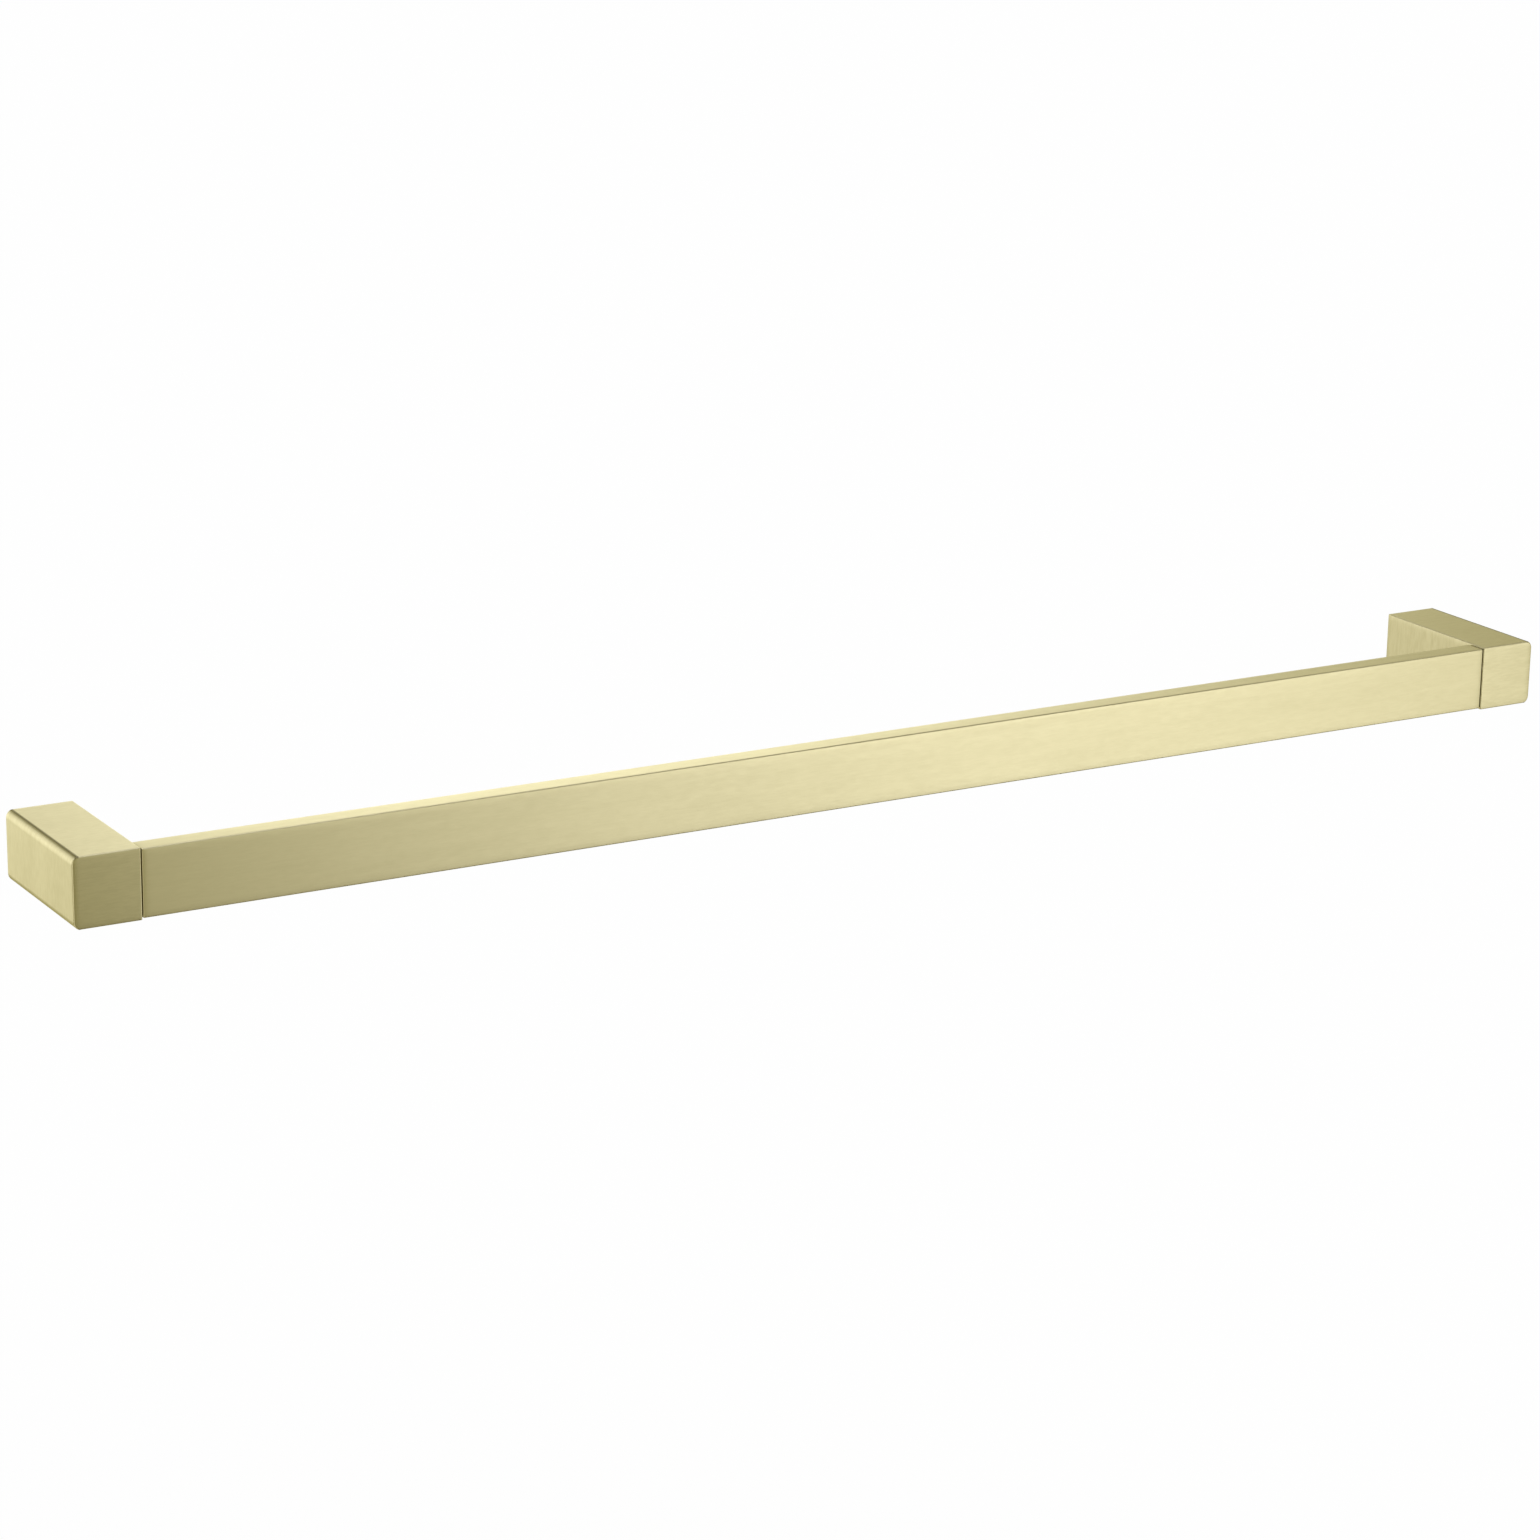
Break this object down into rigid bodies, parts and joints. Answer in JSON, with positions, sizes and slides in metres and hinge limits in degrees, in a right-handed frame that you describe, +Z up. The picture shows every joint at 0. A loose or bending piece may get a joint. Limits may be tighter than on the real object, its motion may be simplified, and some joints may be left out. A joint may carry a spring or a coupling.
{
  "type": "towel rail",
  "caption": "Wall-mounted towel rail: a flat rectangular bar held between square-section posts, fixed over hidden wall brackets, in brushed pale gold metal.",
  "frame": {"origin": "on the wall plane, midway between the two wall screws and at half the posts' height", "axes": "+X along the bar, +Y into the wall (the front faces -Y), +Z up"},
  "size_m": [0.61, 0.06, 0.025],
  "materials": {
    "brushed_gold": "fine brushed, pale gold",
    "machined_brass": "machined",
    "bracket_steel": "folded sheet",
    "screw_steel": "blackened"
  },
  "bodies": {
    "root": {"rail_bar": "brushed_gold", "left_post": "brushed_gold", "right_post": "brushed_gold", "left_bar_end_plug": "machined_brass", "right_bar_end_plug": "machined_brass", "left_tongue_lock_screw": "screw_steel", "right_tongue_lock_screw": "screw_steel", "left_wall_bracket": "bracket_steel", "right_wall_bracket": "bracket_steel", "left_post_grub_screw": "screw_steel", "right_post_grub_screw": "screw_steel"}
  },
  "joints": []
}
